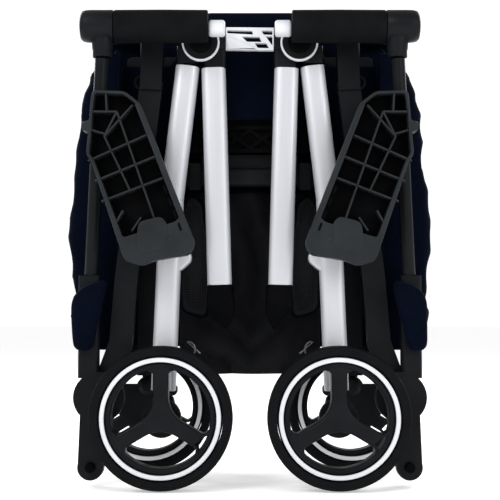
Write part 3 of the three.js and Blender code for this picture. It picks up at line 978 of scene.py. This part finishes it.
def seat_skirt():
    """Seat cloth that hangs from the deck's front edge down to the cross beam."""
    def place(u, v):
        x = (u - 0.5) * SKIRT_WIDTH
        bottom = SKIRT_BOTTOM - 0.05 * smoothstep(0.062, 0.10, abs(x))
        outer = smoothstep(0.066, 0.078, abs(x))
        z = bottom + (SKIRT_TOP - 0.012 * outer - bottom) * v
        sag = 0.004 * math.sin(math.pi * v) * math.cos(x * 26) * (1 - outer)
        ripple = 0.0022 * (1 - outer) * noise.noise(Vector((x * 30, z * 24, 2)))
        y = SKIRT_FACE + 0.0082 * outer + sag * 0.5 + ripple
        return Vector((x, y, z))

    made = piece("seat_skirt", surface(120, 40, place), NAVY, None, smooth=70)
    apply_modifier(made, "SOLIDIFY", thickness=0.0016, offset=0)
    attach(made, "seat_frame")
    for side, sign in SIDES:
        for k, (radius, thick) in enumerate(((0.0072, 0.0012), (0.0046, 0.0022), (0.0018, 0.003))):
            disc = bar((-0.104, -0.0192 - thick, 0.376), (-0.104, -0.0192, 0.376), radius, 0.0005, 48)
            piece(f"snap_{side}_{k}", mirrored(disc, sign), (BLACK, DARK, BLACK)[k], "seat_frame")


# ---------------------------------------------------------------- basket
NET_OUTLINE = (
    (-0.066, 0.158), (-0.040, 0.150), (-0.037, 0.20), (-0.044, 0.262), (-0.058, 0.272), (-0.068, 0.25),
)


def basket():
    """A sagging bag of cloth with a padded net panel at each side of its front."""
    low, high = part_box("basket")

    def front(u, v):
        x = (u - 0.5) * (high.x - low.x)
        z = low.z + (high.z - low.z) * v
        drift = 2.5 * noise.noise(Vector((x * 18, 2, z * 12)))
        vee = abs(math.sin((z - 0.9 * abs(x)) * 85 + drift)) * (1 - smoothstep(0.13, 0.18, z))
        tall = abs(math.sin(x * 62 + (z - 0.2) * 14 + drift)) * smoothstep(0.13, 0.19, z)
        swag = 0.006 - 0.011 * (vee + tall) * (1 - smoothstep(0.035, 0.062, abs(x)))
        crease = 0.007 * noise.noise(Vector((x * 26, 4, z * 17)))
        crease += 0.0026 * noise.noise(Vector((x * 70, 1, z * 60)))
        belly = -0.003 * math.exp(-(((abs(x) - 0.052) / 0.014) ** 2)) * smoothstep(0.14, 0.2, z)
        return Vector((x, low.y + 0.005 + swag + crease + belly, z))

    def back(u, v):
        spot = front(u, v)
        lift = 0.004 * noise.noise(Vector((spot.x * 22, 9, spot.z * 18)))
        return Vector((spot.x * 0.985, high.y - 0.003 + lift, spot.z))

    def link(a, b, swell):
        """Points from a to b round one end of the bag, which swells sideways."""
        return [a.lerp(b, t / 8) + Vector((swell * math.sin(math.pi * t / 8), 0, 0)) for t in range(1, 8)]

    count = 64
    rows = []
    for j in range(49):
        v = j / 48
        ring = [front(i / count, v) for i in range(count + 1)]
        rear = [back(1 - i / count, v) for i in range(count + 1)]
        rows.append(ring + link(ring[-1], rear[0], 0.003) + rear + link(rear[-1], ring[0], -0.003))
    per = len(rows[0])
    vertices = [p for row in rows for p in row]
    faces = []
    for j in range(len(rows) - 1):
        for i in range(per):
            k = (i + 1) % per
            faces.append((j * per + i, j * per + k, (j + 1) * per + k, (j + 1) * per + i))
    faces.append(tuple(range(per)))
    bag = mesh_of("basket", vertices, faces)
    made = piece("basket_cloth", bag, CLOTH, None, ["basket"], 75)
    apply_modifier(made, "SOLIDIFY", thickness=0.0015, offset=-1)
    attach(made, "seat_frame")
    for side, sign in SIDES:
        outline = fillet(NET_OUTLINE, 0.010, 6)
        panel = plate([outline], low.y - 0.004, low.y + 0.006, 0.003, 3)
        panel = mirrored(panel, sign)
        made = piece(f"net_panel_{side}", panel, NET, None, smooth=60)
        inflate(made, 0.003, 3, 0.0025)
        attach(made, "seat_frame")
        rim_line = [Vector((sign * x, low.y - 0.0035, z)) for x, z in outline]
        piping(f"net_edge_{side}", rim_line, 0.0012, "seat_frame", True)
    hem = [Vector((x.x, x.y - 0.0006, x.z)) for x in (front(i / 80, 0.985) for i in range(81))]
    piping("basket_hem", hem, 0.0018, "seat_frame")


def hardware():
    """Basket hooks, bar clips, the knees' stop pins and the dots on the release buttons."""
    for side, sign in SIDES:
        hook = []
        for i in range(25):
            a = math.radians(200 + i * 11)
            hook.append(Vector((sign * (-0.058 + 0.006 * math.cos(a)), -0.016, 0.122 + 0.007 * math.sin(a))))
        hook.append(Vector((sign * -0.047, -0.014, 0.118)))
        piece(f"hook_{side}", curve_mesh(hook, 0.0011), STEEL, "seat_frame", smooth=60)
        for k, (x, z, wide, high) in enumerate(((-0.052, 0.285, 0.012, 0.026), (-0.064, 0.285, 0.007, 0.02))):
            outline = fillet([(x - wide / 2, z - high / 2), (x + wide / 2, z - high / 2),
                              (x + wide / 2, z + high / 2), (x - wide / 2, z + high / 2)], 0.002, 4)
            clip = plate([outline], -0.0275, -0.0065 if k else -0.0238, 0.001)
            piece(f"bar_clip_{side}_{k}", mirrored(clip, sign), BLACK, "seat_frame")
        low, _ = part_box(f"push_knee_{side}")
        pin = bar((-0.144, low.y - 0.0012, 0.017), (-0.144, -0.0605, 0.017), 0.0046, 0.0012, 40)
        piece(f"stop_pin_{side}", mirrored(pin, sign), DARK, f"push_bar_{side}")
        nut = lathe([(0, 0), (2.6 * MM, 0), (3 * MM, 0.4 * MM), (3 * MM, 1.4 * MM), (0, 1.4 * MM)],
                    (-0.137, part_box(f"release_button_{side}")[0].y - 0.0012, 0.0795), (0, 1, 0), 32)
        piece(f"button_dot_{side}", mirrored(nut, sign), DARK, f"release_{side}")


studio()
kept_nodes()
for side_name, _ in SIDES:
    wheel("front", side_name, f"front_wheel_{side_name}")
    wheel("rear", side_name, f"rear_wheel_{side_name}")
tubes()
elbows()
bridge()
handles()
foot_plates()
seat_pad()
side_pads()
back_panels()
hood()
hood_roof()
seat_skirt()
basket()
hardware()
